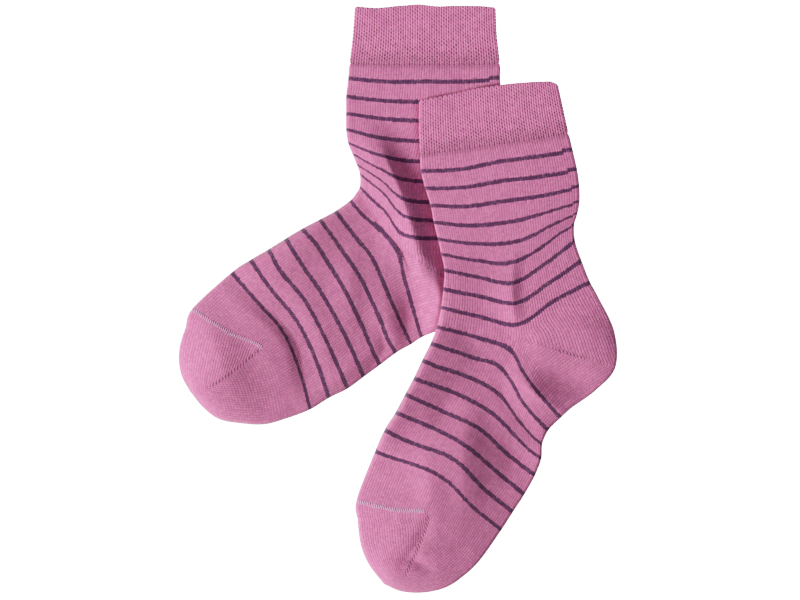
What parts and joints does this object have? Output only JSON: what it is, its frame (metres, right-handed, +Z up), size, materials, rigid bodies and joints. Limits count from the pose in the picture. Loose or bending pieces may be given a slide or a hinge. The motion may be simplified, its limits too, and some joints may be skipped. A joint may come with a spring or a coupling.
{
  "type": "pair of socks",
  "caption": "Pair of knitted ankle socks laid flat, the upper over part of the lower, with meshed elastic cuffs, heel and toe pockets and thin stripes.",
  "frame": {"origin": "on the table under the middle of the pair's outline", "axes": "+Y towards the cuffs, +X to the right seen from above, +Z up"},
  "size_m": [0.2074, 0.2776, 0.0121],
  "materials": {
    "cuff_knit": "matte meshed elastic knit, pink mauve",
    "striped_knit": "matte fine knit, heathered pink mauve with thin plum stripes",
    "plain_knit": "matte fine knit, heathered pink mauve",
    "seam_thread": "pale lilac linking thread"
  },
  "bodies": {
    "root": {"lower_sock_cuff": "cuff_knit", "lower_sock_leg": "striped_knit", "lower_sock_heel": "plain_knit", "lower_sock_foot": "striped_knit", "lower_sock_toe": "plain_knit", "upper_sock_cuff": "cuff_knit", "upper_sock_leg": "striped_knit", "upper_sock_heel": "plain_knit", "upper_sock_foot": "striped_knit", "upper_sock_toe": "plain_knit"}
  },
  "joints": []
}
